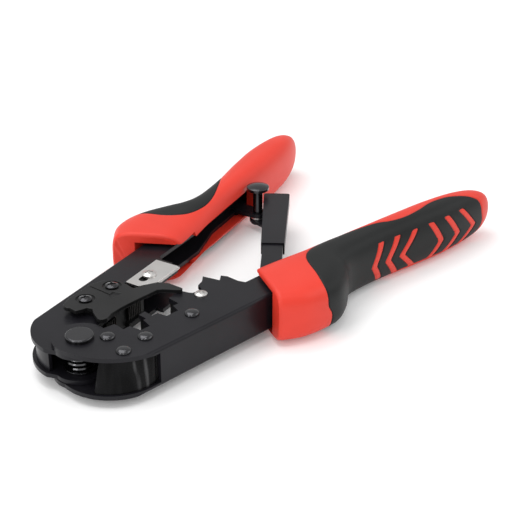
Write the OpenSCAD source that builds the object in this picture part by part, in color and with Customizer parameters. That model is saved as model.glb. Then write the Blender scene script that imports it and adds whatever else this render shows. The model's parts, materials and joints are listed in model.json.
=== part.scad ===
// Ratchet crimping tool for modular network and telephone plugs.
// The pivot runs along Z through the origin, and the flat lower face of its rivet head lies at z = 0.
// The fixed jaw and its handle run along +X. The moving jaw stands open above them, towards +Y.
// All sizes are in millimetres.

/* [Opening] */
// Angle between the two handles, with the jaws fully open
open_angle = 14.5; // [10:0.1:14.5]

/* [Frame] */
// Overall height of the fixed channel
channel_h = 14.6; // [14:0.1:15]
// Thickness of the pressed sheet
plate_t = 1.6; // [1.4:0.1:1.8]
// Distance from the pivot to the outer face of the fixed web
fixed_web = 24.3; // [24:0.1:26]
// Distance from the pivot to the outer face of the moving web
moving_web = 23.2; // [22.8:0.1:23.4]
// Distance from the handle's centre line to the open edge of each channel
channel_edge = 11.7; // [11:0.1:12.5]
// Clearance between the nested plates
nest_gap = 0.15; // [0.1:0.01:0.2]
// Outer bend radius of the pressed channels
bend_r = 1.2; // [1:0.1:1.5]

/* [Pivot] */
// Radius of the pivot shank
pivot_r = 3.2; // [3:0.1:3.4]
// Radius of the pivot's flat heads
pivot_head_r = 4.9; // [4.6:0.1:5.1]
// Height of each pivot head
pivot_head_h = 1.5; // [1.2:0.1:1.8]
// Radial clearance of every running fit
running_fit = 0.05; // [0.02:0.01:0.1]
// Radius of the fixed plates round the pivot
boss_r = 9.5; // [9.4:0.1:9.8]

/* [Nests] */
// Width of the opening for an eight-way plug body
nest_8p_w = 12.0; // [11.9:0.1:12.2]
// Width of the opening for a six-way plug body
nest_6p_w = 9.95; // [9.8:0.05:10.1]
// Centre of the eight-way nest along the jaw
nest_8p_x = 32.6; // [32.4:0.1:32.8]
// Centre of the six-way nest along the jaw
nest_6p_x = 18.8; // [18.6:0.1:19]
// Depth of each nest below the jaw's centre line
nest_depth = 6.1; // [5.9:0.1:6.4]
// Spacing of the plug contacts
contact_pitch = 1.02; // [1.0:0.01:1.05]

/* [Link] */
// Place of the link's anchor pin along the fixed handle
anchor_x = 74.8; // [74.5:0.1:75.2]
// Distance of the anchor pin below the centre line
anchor_y = 14.9; // [14.6:0.1:15.3]
// Direction of the link, from the fixed handle's line
link_angle = 42.5; // [42.3:0.1:42.7]
// Distance from the anchor pin to the link pin, along the link
link_reach = 74.45; // [74:0.05:75]
// Distance of the link pin beside the link's centre line
link_offset = 7.81; // [7.6:0.01:8]
// Width of the link's outer sleeve at its mouth
sleeve_w = 9.1; // [9:0.1:9.3]
// Radius of the link pin's mushroom head
link_head_r = 4.6; // [4.2:0.1:4.8]

/* [Grips] */
// Depth of the soft overmould
skin = 1.6; // [1.4:0.1:1.8]
// Depth of the inlaid chevrons
chevron_depth = 0.9; // [0.8:0.1:1]

/* [Hidden] */
$fn = 64;

// Heights, from the underside of the pivot head
fixed_z0 = pivot_head_h;
fixed_z1 = fixed_z0 + channel_h;
fixed_in0 = fixed_z0 + plate_t;
fixed_in1 = fixed_z1 - plate_t;
moving_z0 = fixed_in0 + nest_gap;
moving_z1 = fixed_in1 - nest_gap;
moving_in0 = moving_z0 + plate_t;
moving_in1 = moving_z1 - plate_t;
mid_z = (fixed_z0 + fixed_z1) / 2;
over_gap = 0.05;
over_z = fixed_z1 + over_gap;

// Colours
steel_c = [0.20, 0.20, 0.22];
bright_c = [0.75, 0.74, 0.72];
black_c = [0.11, 0.11, 0.12];
red_c = [0.88, 0.22, 0.18];
soft_c = [0.22, 0.24, 0.24];

// Lengths of the channels along the handles
web_start = 14.4;
slot_end = 138;
tang_end = 172;
tang_edge = 18.5;

// Handle profile stations: place along the handle, inner side, outer side, half thickness and squareness
near_keys = [
  [54, 7.4, 26, 9.6, 3.8],
  [60, 7.5, 30.5, 10.0, 3.8],
  [66, 7.6, 34.5, 10.3, 3.8],
  [72, 7.7, 37.6, 10.4, 3.8],
  [80, 7.9, 39, 10.5, 3.6],
  [87.5, 8.6, 38.9, 10.7, 3.4],
  [94.5, 9.6, 35.6, 10.9, 3.1],
  [99.5, 10.2, 31.4, 10.9, 2.9],
  [105, 10.8, 28.5, 10.9, 2.8],
  [113, 11.6, 27.6, 10.8, 2.8],
  [127, 12.8, 28, 10.9, 2.8],
  [142, 13.9, 29.8, 11.1, 2.8],
  [158, 15.2, 31.3, 11.1, 2.8],
  [172, 17.1, 31.5, 10.6, 2.6],
  [182, 19.4, 31, 9.1, 2.4],
  [188, 22, 29.2, 6.3, 2.2],
  [190.3, 24.4, 26.6, 2.2, 2]
];
far_keys = [
  [54, 7.4, 26.6, 9.6, 3.8],
  [60, 7.5, 31.2, 10.0, 3.8],
  [66, 7.6, 35.2, 10.3, 3.8],
  [72, 7.7, 38.4, 10.4, 3.6],
  [80, 7.9, 39.5, 10.4, 3.1],
  [87.5, 8.6, 38.0, 10.5, 2.6],
  [94.5, 9.6, 33.8, 10.7, 2.3],
  [99.5, 10.2, 29.9, 10.8, 2.2],
  [105, 10.8, 27.3, 10.8, 2.2],
  [113, 11.6, 26.5, 10.8, 2.2],
  [127, 12.8, 27.3, 10.9, 2.4],
  [142, 13.9, 29.5, 11.1, 2.6],
  [158, 15.2, 31.3, 11.1, 2.7],
  [172, 17.1, 31.2, 10.6, 2.6],
  [181, 19.4, 30.6, 9.1, 2.4],
  [186.8, 22, 28.8, 6.3, 2.2],
  [189, 24.2, 26.4, 2.2, 2]
];
grip_mid = mid_z + 0.6;
grip_steps = 2;
grip_sides = 26;
front_x = 77;
front_slope = 0.45;
mouth_depth = 8;
mouth_gap = 1.5;

// Edges of the soft overmould on the face that shows most of it, and on the other face
patch_wide = [
  [80, 45], [81.2, 36], [85, 27.7], [87.3, 22.7], [90, 18.7], [93.5, 15.9], [98.5, 14], [107, 13.8], [118, 15.6],
  [128.7, 18.5], [134.5, 21.5], [141.5, 23.1], [149.5, 23], [158, 22], [166, 23], [172, 25.8], [177, 28.4],
  [182, 32], [186, 45]
];
patch_narrow = [
  [82, 45], [83, 35], [83.6, 29.5], [84.5, 25], [86.8, 20.8], [90.6, 17.6], [96, 15.9], [103, 15.4], [110.6, 17],
  [120.3, 21], [128.5, 25], [137, 27.3], [150, 28.9], [165, 29.7], [178, 29.4], [183, 32], [186, 45]
];

// Chevrons: place of each point along the handle, and how far back its arms run
chevron_places = [[117.4, 4.5], [125, 5.6], [132.4, 7.4], [153.8, -5.6], [163.8, -6.6], [174.2, -8]];
chevron_rise = 9;
chevron_drop = 7.4;
chevron_band = 3.0;
chevron_z = mid_z - 1;

// Link pin, in the fixed handle's frame and in the moving handle's
link_pin_at = turned([link_reach, link_offset], link_angle) + [anchor_x, -anchor_y];
link_pin_m = turned(link_pin_at, -open_angle);
sleeve_mouth = 31.4;
sleeve_end = link_reach + 1.5;
sleeve_end_w = 10.6;
sleeve_t = 0.5;
sleeve_z1 = fixed_z1 - 2.5;
sleeve_z0 = sleeve_z1 - 5;
bar_gap = 0.1;
bar_w = sleeve_w - 2 * sleeve_t - 2 * bar_gap;
bar_z0 = sleeve_z0 + sleeve_t + bar_gap;
bar_z1 = sleeve_z1 - sleeve_t - bar_gap;
anchor_r = 2.0;
eye_shift = [0.48, -0.45];
eye_bore_r = anchor_r + 1.0;
eye_r = 4.6;
link_shaft_r = 2.0;
ear_r = 3.4;
ear_z0 = 1.7;
ear_z1 = 2.95;
frame_ear_z0 = moving_z0 + 0.9;
frame_ear_z1 = moving_in0 + 0.9;
tooth_pitch = 1.5;
teeth = 15;
tail_edge = 0.2;
pawl_at = [sleeve_mouth + 31, 2.4];
pawl_pin_r = 0.8;
pawl_eye_r = 1.5;

// ---------- helper functions ----------

function turned(p, a) = [p[0] * cos(a) - p[1] * sin(a), p[0] * sin(a) + p[1] * cos(a)];
function arc(c, r, a0, a1, n) = [for (i = [0 : n]) let (a = a0 + (a1 - a0) * i / n) c + r * [cos(a), sin(a)]];

// Centre of the circle through three points
function centre3(p, q, s) =
  let (
    a = q - p,
    b = s - p,
    d = 2 * (a[0] * b[1] - a[1] * b[0]),
    ux = (b[1] * (a * a) - a[1] * (b * b)) / d,
    uy = (a[0] * (b * b) - b[0] * (a * a)) / d
  ) p + [ux, uy];

// Points along that circle from the first point to the third, moved inwards by inset
function arc3(p, q, s, n, inset = 0) =
  let (
    c = centre3(p, q, s),
    r = norm(p - c) - inset,
    a0 = atan2(p[1] - c[1], p[0] - c[0]),
    turn = atan2(s[1] - c[1], s[0] - c[0]) - a0,
    sweep = turn < 0 ? turn + 360 : turn
  ) arc(c, r, a0, a0 + sweep, n);

// Smooth curve through a list of stations, at parameter t from 0 to its last index
function smooth(k, t) =
  let (
    last = len(k) - 1,
    i = min(floor(t), last - 1),
    f = t - i,
    p0 = k[max(i - 1, 0)],
    p1 = k[i],
    p2 = k[i + 1],
    p3 = k[min(i + 2, last)]
  ) 0.5 * (2 * p1 + (p2 - p0) * f + (2 * p0 - 5 * p1 + 4 * p2 - p3) * f * f
    + (3 * p1 - p0 - 3 * p2 + p3) * f * f * f);
function smooth_line(k, n) = [for (i = [0 : (len(k) - 1) * n]) smooth(k, i / n)];

function bulge(v, n) = sign(v) * pow(abs(v), 2 / n);
function grip_ring(s, inset) =
  let (
    centre = (s[1] + s[2]) / 2,
    half_w = max((s[2] - s[1]) / 2 - inset, 0.3),
    half_h = max(s[3] - inset, 0.3)
  ) [for (i = [0 : grip_sides - 1])
      let (a = 360 * (i + 0.5) / grip_sides)
      [s[0], centre + half_w * bulge(cos(a), s[4]), grip_mid + half_h * bulge(sin(a), s[4])]];

// Faces of a tube made of rings with n points each
function tube_faces(rings, n) = concat(
  [[for (i = [0 : n - 1]) i]],
  [for (j = [0 : rings - 2], i = [0 : n - 1])
    [j * n + i, (j + 1) * n + i, (j + 1) * n + (i + 1) % n, j * n + (i + 1) % n]],
  [[for (i = [n - 1 : -1 : 0]) (rings - 1) * n + i]]
);
function flat(lists) = [for (l = lists, p = l) p];

// ---------- helper modules ----------

module open_jaw() rotate([0, 0, open_angle]) children();
module near_side() mirror([0, 1, 0]) children();
module on_link() translate([anchor_x, -anchor_y, 0]) rotate([0, 0, link_angle]) children();
module slab(z0, z1) translate([0, 0, z0]) linear_extrude(z1 - z0) children();
module box(x, y, z) translate([x[0], y[0], z[0]]) cube([x[1] - x[0], y[1] - y[0], z[1] - z[0]]);
module rod(p, r, z0, z1) translate([p[0], p[1], z0]) cylinder(r = r, h = z1 - z0);

// Pressed channel along X: its web stands at y = web, and its open side looks towards the centre line
module channel(web, z0, z1) {
  translate([-40, 0, 0]) rotate([90, 0, 90]) linear_extrude(tang_end + 80) difference() {
    union() {
      translate([-30, z0]) square([web - bend_r + 30, z1 - z0]);
      translate([web - bend_r - 1, z0 + bend_r]) square([bend_r + 1, z1 - z0 - 2 * bend_r]);
      for (z = [z0 + bend_r, z1 - bend_r]) translate([web - bend_r, z]) circle(r = bend_r);
    }
    translate([-40, z0 + plate_t]) square([web - plate_t + 40, z1 - z0 - 2 * plate_t]);
  }
}

// Screw or rivet head with a domed top; h is its height and rim the height of its straight edge
module dome_head(r, h, rim) {
  cap = h - rim;
  ball = (r * r + cap * cap) / (2 * cap);
  rotate_extrude() intersection() {
    union() {
      square([r, rim]);
      translate([0, h - ball]) circle(r = ball);
    }
    square([r, h]);
  }
}

module cross_recess(size, depth) {
  for (a = [45, 135]) rotate([0, 0, a]) translate([-size / 2, -size / 8, -depth]) cube([size, size / 4, 2 * depth]);
}

module grip_loft(keys, inset) {
  line = smooth_line(keys, grip_steps);
  polyhedron(points = flat([for (s = line) grip_ring(s, inset)]), faces = tube_faces(len(line), grip_sides));
}

// Everything in front of the grip's slanted front face
module before_front() {
  slab(-20, 40) polygon([
    [front_x + front_slope * 20, -20],
    [front_x - front_slope * 60, 60],
    [0, 60],
    [0, -20]
  ]);
}

// Outer layer of a grip under the soft patches, as thick as depth; upper and lower are the edges of the patches
module patch_layer(keys, upper, lower, depth) {
  difference() {
    intersection() {
      grip_loft(keys, 0);
      union() {
        slab(grip_mid, 40) polygon(smooth_line(upper, 3));
        slab(-20, grip_mid) polygon(smooth_line(lower, 3));
      }
    }
    grip_loft(keys, depth);
  }
}

module chevron_prisms() {
  for (c = chevron_places) translate([c[0], 60, chevron_z]) rotate([90, 0, 0]) linear_extrude(40)
    polygon([
      [0, 0],
      [c[1], chevron_rise],
      [c[1] + chevron_band, chevron_rise],
      [chevron_band, 0],
      [c[1] + chevron_band, -chevron_drop],
      [c[1], -chevron_drop]
    ]);
}

module chevrons(keys, upper, lower) {
  color(red_c) intersection() {
    patch_layer(keys, upper, lower, chevron_depth);
    chevron_prisms();
  }
}

module overmould(keys, upper, lower) {
  color(soft_c) difference() {
    patch_layer(keys, upper, lower, skin);
    difference() {
      chevron_prisms();
      grip_loft(keys, chevron_depth);
    }
  }
}

// Hard shell of a grip: web, z0 and z1 are those of the channel that it holds
module grip_shell(keys, upper, lower, web, z0, z1) {
  color(red_c) difference() {
    grip_loft(keys, 0);
    patch_layer(keys, upper, lower, skin);
    before_front();
    box([40, slot_end], [-5, web], [z0, z1]);
    box([slot_end - 1, tang_end], [tang_edge, web], [z0, z1]);
    box([40, front_x + mouth_depth], [-5, web + mouth_gap], [z0 - mouth_gap, z1 + mouth_gap]);
  }
}

// ---------- fixed jaw ----------

// Nest for one plug: a body as wide as w and a narrower place for its latch below
module nest(x, w, latch_w, latch_depth) {
  translate([x - w / 2, -nest_depth]) square([w, 20]);
  translate([x, 0]) polygon([
    [-latch_w / 2, -nest_depth + 1],
    [-latch_w / 2 + 1.2, -nest_depth - latch_depth],
    [latch_w / 2 - 1.2, -nest_depth - latch_depth],
    [latch_w / 2, -nest_depth + 1]
  ]);
}

module nests() {
  nest(nest_8p_x, nest_8p_w, 7.6, 3.6);
  nest(nest_6p_x + 0.8, 7.4, 6.4, 4.6);
  translate([nest_6p_x - nest_6p_w / 2, -nest_depth]) square([nest_6p_w, 20]);
}

// Nose of the fixed jaw at its upper plate, and at its lower plate, which stands out further
head_arc = [[-9.18, -2.46], [-1.8, -17], [12.2, -fixed_web]];
low_arc = [head_arc[0], [-3.5, -18.7], head_arc[2]];
module fixed_outline(nose) {
  difference() {
    polygon(concat(
      arc([0, 0], boss_r, -5, 195, 50),
      arc3(nose[0], nose[1], nose[2], 24),
      [[web_start, -fixed_web], [tang_end, -fixed_web], [tang_end, -tang_edge], [slot_end, -tang_edge], [108, -16.5], [90, -channel_edge]],
      [[65.8, -channel_edge], [64.6, -9], [64.2, -4], [62.9, -1.9], [60.2, -4.1], [58.9, -0.6]],
      [[57.8, 2.2], [55, -0.3], [52.2, -1.4], [51.3, -4.2], [47.2, -4.2], [46.3, -3.1], [45, 0]],
      [[41.3, -0.6], [38, -1], [24, -2.4], [12, -1.2]]
    ));
    nests();
  }
}

module fixed_frame() color(steel_c) difference() {
  intersection() {
    union() {
      slab(mid_z, fixed_z1) fixed_outline(head_arc);
      slab(fixed_z0, mid_z) fixed_outline(low_arc);
    }
    near_side() channel(fixed_web, fixed_z0, fixed_z1);
  }
  box([-20, web_start], [-30, 20], [fixed_in0, fixed_in1]);
  rod([0, 0], pivot_r + running_fit, 0, 20);
  for (p = rivet_places) rod(p, rivet_r + running_fit, 0, 20);
  rod([anchor_x, -anchor_y], anchor_r + running_fit, 0, 20);
  rod(anvil_screw_at, anvil_shank_r + running_fit, fixed_in1 - 1, 20);
}

rivet_places = [[6.9, -6.2], [5, -16.9], [15.9, -15], [37.2, -14.7]];
rivet_r = 1.6;
rivet_head_r = 2.65;
rivet_head_h = 1.2;
anvil_screw_at = [48.3, -7.2];
anvil_shank_r = 1.2;

module frame_rivets() color(steel_c) for (p = rivet_places) translate([p[0], p[1], 0]) {
  rod([0, 0], rivet_r, fixed_z0, fixed_z1);
  translate([0, 0, fixed_z1]) dome_head(rivet_head_r, rivet_head_h, 0.3);
  translate([0, 0, fixed_z0]) mirror([0, 0, 1]) dome_head(rivet_head_r, rivet_head_h, 0.3);
}

// Solid block between the plates, at the nose of the fixed jaw
module head_outline(nose) polygon(concat(
  arc3(nose[0], nose[1], nose[2], 24, 1),
  [[13.3, -fixed_web + 1.2], [13.3, -2.2], [9.5, -2.2]]
));
module head_block() color(black_c) difference() {
  hull() {
    slab(fixed_in0, fixed_in0 + 0.1) head_outline(low_arc);
    slab(fixed_in1 - 0.1, fixed_in1) head_outline(head_arc);
  }
  rod([0, 0], boss_r + 0.4, 0, 20);
  box([-30, 1], [-14, 26], [0, 20]);
  for (p = rivet_places) rod(p, rivet_r + running_fit, 0, 20);
}

// Nest block between the plates, riveted through
module die_block() color(black_c) difference() {
  slab(fixed_in0, fixed_in1) difference() {
    polygon([[13.4, -22.6], [44.5, -22.6], [44.5, -1.4], [38, -1.6], [24, -3], [13.4, -2.2]]);
    nests();
  }
  for (p = rivet_places) rod(p, rivet_r + running_fit, 0, 20);
}

module anvil_plate() color(bright_c) difference() {
  slab(fixed_in1 - 1.5, fixed_in1) polygon([[44.7, -10.2], [53.5, -10.2], [52, -2.4], [46.6, -2.4], [44.7, -4.5]]);
  rod(anvil_screw_at, anvil_shank_r + running_fit, 0, 20);
}

module anvil_screw() color(bright_c) difference() {
  union() {
    rod(anvil_screw_at, anvil_shank_r, fixed_in1 - 3, fixed_z1);
    translate([anvil_screw_at[0], anvil_screw_at[1], fixed_z1]) dome_head(2.3, 1.2, 0.6);
  }
  translate([anvil_screw_at[0], anvil_screw_at[1], fixed_z1 + 1.2]) cross_recess(2.6, 0.7);
}

module anchor_pin() color(steel_c) rod([anchor_x, -anchor_y], anchor_r, fixed_z0, fixed_z1);

// ---------- pivot ----------

module pivot_head() rotate_extrude() {
  square([pivot_head_r - 0.6, pivot_head_h]);
  square([pivot_head_r, pivot_head_h - 0.6]);
  translate([pivot_head_r - 0.6, pivot_head_h - 0.6]) circle(r = 0.6);
}

module pivot_pin() color(steel_c) {
  rod([0, 0], pivot_r, fixed_z0, fixed_z1);
  translate([0, 0, fixed_z1]) pivot_head();
  translate([0, 0, fixed_z0]) mirror([0, 0, 1]) pivot_head();
}

bush_r = 3.5;
washer_t = 0.75;
washer_r = 6;
press_gap = 0.02;
module pivot_bush() color(black_c) difference() {
  rod([0, 0], bush_r, moving_in0 + 0.1, moving_in1 - 0.1);
  rod([0, 0], pivot_r + press_gap, 0, 20);
}

// Washer under the spring, on the lower plate of the moving jaw
module pivot_washer() color(steel_c) difference() {
  rod([0, 0], washer_r, moving_in0, moving_in0 + washer_t);
  rod([0, 0], bush_r + running_fit, 0, 20);
}

// Torsion spring round the bush, with one leg against each jaw
spring_r = 4.45;
spring_wire = 0.72;
spring_turns = 3;
spring_rise = 1.68;
spring_start = 200;
spring_z0 = moving_in0 + washer_t + spring_wire;
function spring_ring(i) =
  let (turn = i / 20, a = spring_start + 360 * turn)
  [for (k = [0 : 7])
    let (b = 45 * k, r = spring_r + spring_wire * cos(b))
    [r * cos(a), r * sin(a), spring_z0 + spring_rise * turn + spring_wire * sin(b)]];
module return_spring() {
  last = spring_turns * 20;
  color(bright_c) polyhedron(
    points = flat([for (i = [0 : last]) spring_ring(i)]),
    faces = tube_faces(last + 1, 8)
  );
}

// ---------- moving jaw, in its own frame with the handles together ----------

nose_arc = [[7, moving_web], [-3.9, 18], [-9.5, 7.4]];
nose_end = 6.9;
hub_r = 7.4;
// Edge of the lower plate's lip under the cutter
low_lip_y = -2;
module moving_outline(blade_edge) {
  polygon(concat(
    arc([0, 0], boss_r - 0.2, 158, 288, 36),
    arc([0, 0], hub_r, 292, 345, 14),
    [[9.6, 1.5], [37, 1.5], [38, blade_edge], [59.5, blade_edge], [61, 8], [64, channel_edge]],
    [[90, channel_edge], [108, 16.5], [slot_end, tang_edge], [tang_end, tang_edge], [tang_end, moving_web]],
    arc3(nose_arc[0], nose_arc[1], nose_arc[2], 24)
  ));
}

// Curved wall between the two moving plates, set back from their edges round the nose
nose_inset = 1.4;
module nose_wall() color(steel_c) open_jaw() slab(moving_in0, moving_in1) difference() {
  polygon(concat(
    arc3(nose_arc[0], nose_arc[1], nose_arc[2], 24, nose_inset),
    [for (i = [24 : -1 : 0]) arc3(nose_arc[0], nose_arc[1], nose_arc[2], 24, nose_inset + plate_t)[i]]
  ));
  translate([nose_end, 0]) square(40);
}

module moving_frame() color(steel_c) open_jaw() difference() {
  union() {
    intersection() {
      slab(moving_z0, moving_z1) moving_outline(0.6);
      channel(moving_web, moving_z0, moving_z1);
    }
    slab(moving_z0, moving_in0) polygon([[45.5, 3], [45.5, low_lip_y], [58.5, low_lip_y], [59.5, 3]]);
    slab(frame_ear_z0, frame_ear_z1) link_ear_outline(0);
    slab(moving_z0, frame_ear_z1) link_ear_outline(tang_edge - 1.5);
  }
  box([-20, nose_end], [-30, 30], [moving_in0, moving_in1]);
  rod([0, 0], pivot_r + running_fit, 0, 20);
  for (p = guard_screw_places) rod(p, guard_shank_r + 0.1, moving_in1 - 1, 20);
  rod(blade_screw_at, guard_shank_r + 0.1, moving_in1 - 1, 20);
  rod(link_pin_m, link_shaft_r + press_gap, 0, 20);
}

// Raised ear of the moving channel that holds the link pin, from the given distance outwards
module link_ear_outline(from) intersection() {
  union() {
    translate(link_pin_m) circle(r = ear_r);
    translate(link_pin_m + [-ear_r, 0]) square([2 * ear_r, tang_edge - link_pin_m[1] + 1]);
  }
  translate([0, from]) square([200, 40]);
}

guard_screw_places = [[19.6, 12.5], [32, 10.2]];
guard_shank_r = 1.5;
blade_screw_at = [46.1, 4.0];
guard_z1 = over_z + 1.5;

module guard_outline() polygon(concat(
  [[36.2, 1.2], [34.4, 2.8], [35.4, 5.8], [36.2, 10.4], [33.2, 15.2], [28.8, 17.4], [16.4, 17.6]],
  arc([13.8, 14.6], 2.4, 110, 215, 8),
  [[11.2, 10.2], [13, 9.1], [15, 8.3], [15.4, 6.3], [13.4, 4.4]],
  arc([13, 0.2], 2.1, 165, 275, 10),
  [[16.4, -1.3], [20.9, -1.7], [24.9, -2.4], [31, -3.8], [37.6, -5.3], [39.1, -6.8]],
  arc([42.5, -11.8], 0.9, 210, 350, 8),
  [[43.9, -6.1], [42.7, -3.2], [40.5, -0.9]]
));

// Cast guard over the punches: a plate above the fixed jaw on a thicker foot
module punch_guard() color(black_c) open_jaw() difference() {
  union() {
    slab(over_z, guard_z1) guard_outline();
    slab(moving_z1, over_z) polygon([[15, 15.6], [16.4, 8.6], [16.4, 1.7], [33.4, 1.7], [35, 11], [29, 16.4]]);
  }
  for (p = guard_screw_places) {
    rod(p, guard_shank_r + 0.1, 0, 20);
    rod(p, 3.4, guard_z1 - 0.5, 20);
  }
  arrow_mark();
}

// Arrow that shows where a plug goes in
module arrow_mark() slab(guard_z1 - 0.4, guard_z1 + 1) polygon([
  [27.2, 16.3],
  [26, 7.2],
  [24.1, 4.9],
  [26.6, 4.6],
  [29.4, 3.9],
  [28.5, 7.2],
  [26.7, 7.2],
  [27.8, 16.2]
]);

module guard_screws() color(steel_c) open_jaw() for (p = guard_screw_places) {
  rod(p, guard_shank_r, moving_in1 - 3, guard_z1 - 0.5);
  translate([p[0], p[1], guard_z1 - 0.5]) difference() {
    dome_head(2.4, 1.3, 0.7);
    translate([0, 0, 1.3]) cross_recess(3, 0.8);
  }
}

// Block between the moving plates that carries the crimping blades
module punch_block() color(black_c) open_jaw() difference() {
  slab(moving_in0, moving_in1) polygon([[12.4, 2], [39.4, 2], [39.4, 15], [30, 16.5], [12.4, 16.5]]);
  for (p = guard_screw_places) rod(p, guard_shank_r + 0.02, moving_in1 - 3.1, 20);
  for (k = [0 : 7]) blade_slot(nest_8p_x, 8, k, 0.05);
  for (k = [0 : 5]) blade_slot(nest_6p_x, 6, k, 0.05);
  box([nest_8p_x - 4.5, nest_8p_x + 4.5], [0, 5.6], [5.2, 6.6]);
  box([nest_6p_x - 3.5, nest_6p_x + 3.5], [0, 5.6], [5.2, 6.6]);
}

// Slot for blade k of n, grown by gap
module blade_slot(x, n, k, gap) {
  at = x + (k - (n - 1) / 2) * contact_pitch;
  box([at - 0.22 - gap, at + 0.22 + gap], [0.9, 8 + gap], [7.6 - gap, moving_in1]);
}
module crimp_blades(x, n) color(bright_c) open_jaw() for (k = [0 : n - 1]) blade_slot(x, n, k, 0);
module crimp_blades_8p() crimp_blades(nest_8p_x, 8);
module crimp_blades_6p() crimp_blades(nest_6p_x, 6);
module strain_bar(x, half) color(bright_c) open_jaw() box([x - half, x + half], [0.4, 5.6], [5.2, 6.6]);
module strain_bar_8p() strain_bar(nest_8p_x, 4.5);
module strain_bar_6p() strain_bar(nest_6p_x, 3.5);

module blade_spacer() color(black_c) open_jaw() difference() {
  slab(moving_z1, over_z) polygon([[38.2, 1.4], [50, 1.4], [53, 2.8], [59.4, 2.8], [59.4, 9.2], [38.2, 9.2]]);
  rod(blade_screw_at, guard_shank_r + 0.1, 0, 20);
}

blade_t = 0.9;
module cutter_blade() color(bright_c) open_jaw() difference() {
  slab(over_z, over_z + blade_t) polygon([[43.6, -2], [57, -2], [57, 8.4], [37.6, 8.2], [37.4, 2.5]]);
  translate([44.4, -2, over_z + blade_t]) rotate([-25, 0, 0]) translate([-1, -3, 0]) cube([20, 3.6, 3]);
  slab(0, 20) blade_slot_outline();
}

module blade_slot_outline() {
  translate([42.4, blade_screw_at[1]]) circle(r = 1.6);
  translate([42.4, blade_screw_at[1] - 1.6]) square([blade_screw_at[0] - 42.4, 3.2]);
  translate(blade_screw_at) circle(r = 1.6);
}

module blade_screw() color(bright_c) open_jaw() translate([blade_screw_at[0], blade_screw_at[1], 0]) {
  rod([0, 0], 1.5, moving_in1 - 2.6, over_z + blade_t);
  translate([0, 0, over_z + blade_t]) difference() {
    dome_head(2.6, 1.4, 0.6);
    translate([0, 0, 1.4]) cross_recess(3, 0.8);
  }
}

module blade_nut() color(bright_c) open_jaw() translate([blade_screw_at[0], blade_screw_at[1], moving_in1 - 2.2]) difference() {
  cylinder(r = 3.1, h = 2.2, $fn = 6);
  translate([0, 0, -1]) cylinder(r = 1.5 + running_fit, h = 4);
}

// ---------- grips ----------

module near_grip_shell() near_side() grip_shell(near_keys, patch_wide, patch_narrow, fixed_web, fixed_z0, fixed_z1);
module near_grip_overmould() near_side() overmould(near_keys, patch_wide, patch_narrow);
module near_grip_chevrons() near_side() chevrons(near_keys, patch_wide, patch_narrow);
module far_grip_shell() open_jaw() difference() {
  grip_shell(far_keys, patch_narrow, patch_wide, moving_web, moving_z0, moving_z1);
  rod(link_pin_m, 5.4, -20, 40);
}
module far_grip_overmould() open_jaw() overmould(far_keys, patch_narrow, patch_wide);
module far_grip_chevrons() open_jaw() chevrons(far_keys, patch_narrow, patch_wide);

// ---------- ratchet link ----------

module link_pin() color(steel_c) translate([link_pin_at[0], link_pin_at[1], 0]) {
  rod([0, 0], link_shaft_r, ear_z0 - 0.9, fixed_z1);
  rod([0, 0], 2.7, fixed_z1 - 1, fixed_z1);
  translate([0, 0, fixed_z1]) dome_head(link_head_r, 2.1, 1.2);
}

module link_collar() color(bright_c) difference() {
  rod(link_pin_at, 2.9, ear_z1 + 0.05, frame_ear_z0 - 0.05);
  rod(link_pin_at, link_shaft_r + running_fit, -5, 20);
}

module link_clip() color(steel_c) difference() {
  rod(link_pin_at, 2.9, ear_z0 - 0.85, ear_z0 - 0.05);
  rod(link_pin_at, link_shaft_r + 0.02, -5, 20);
}

// Sleeve of the link, along the link's own line from the anchor pin
module link_sleeve() color(steel_c) on_link() difference() {
  union() {
    slab(sleeve_z0, sleeve_z1) sleeve_outline();
    slab(ear_z0, sleeve_z0) intersection() {
      sleeve_outline();
      translate([link_reach - 8, sleeve_w / 2 - 2]) square([20, 10]);
    }
    slab(ear_z0, ear_z1) ear_outline();
  }
  box([sleeve_mouth - 1, sleeve_end - 1], [-bar_w / 2 - bar_gap, bar_w / 2 + bar_gap], [bar_z0 - bar_gap, bar_z1 + bar_gap]);
  rod([link_reach, link_offset], ear_r + 0.4, ear_z1, frame_ear_z1 + 0.25);
  rod([link_reach, link_offset], link_shaft_r + running_fit, -5, 20);
  rod(pawl_at, pawl_pin_r + 0.02, sleeve_z0 - 1, sleeve_z1 - 0.15);
}

// The sleeve widens from its mouth to its closed end, which has rounded corners
module sleeve_outline() hull() {
  translate([sleeve_mouth, -sleeve_w / 2]) square([1, sleeve_w]);
  for (y = [-1, 1]) translate([sleeve_end - 1, y * (sleeve_end_w / 2 - 1)]) circle(r = 1);
}

module ear_outline() {
  translate([link_reach, link_offset]) circle(r = ear_r);
  polygon([
    [link_reach - 8, sleeve_w / 2],
    [link_reach - 8, sleeve_w / 2 - 2],
    [sleeve_end - 1, sleeve_w / 2 - 2],
    [link_reach + 3.2, link_offset - 1],
    [link_reach - 2, link_offset + 2.6]
  ]);
}

// Bar of the link: an eye on the anchor pin, a broad stem and a toothed tail inside the sleeve
module link_bar() color(steel_c) on_link() difference() {
  slab(bar_z0, bar_z1) {
    translate(eye_shift) circle(r = eye_r);
    translate([0, -bar_w / 2]) square([sleeve_mouth + 1, bar_w]);
    translate([sleeve_mouth, -bar_w / 2]) square([25, bar_w / 2 + tail_edge - 1]);
    for (k = [0 : teeth - 1]) translate([sleeve_mouth + 1 + k * tooth_pitch, tail_edge - 1.1])
      polygon([[0, 0], [tooth_pitch, 0], [tooth_pitch, 1.1], [tooth_pitch * 0.75, 1.1], [0, 0.1]]);
  }
  rod(eye_shift, eye_bore_r, 0, 20);
}

module pawl_pin() color(steel_c) on_link() rod(pawl_at, pawl_pin_r, sleeve_z0, sleeve_z1 - 0.15);

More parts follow.
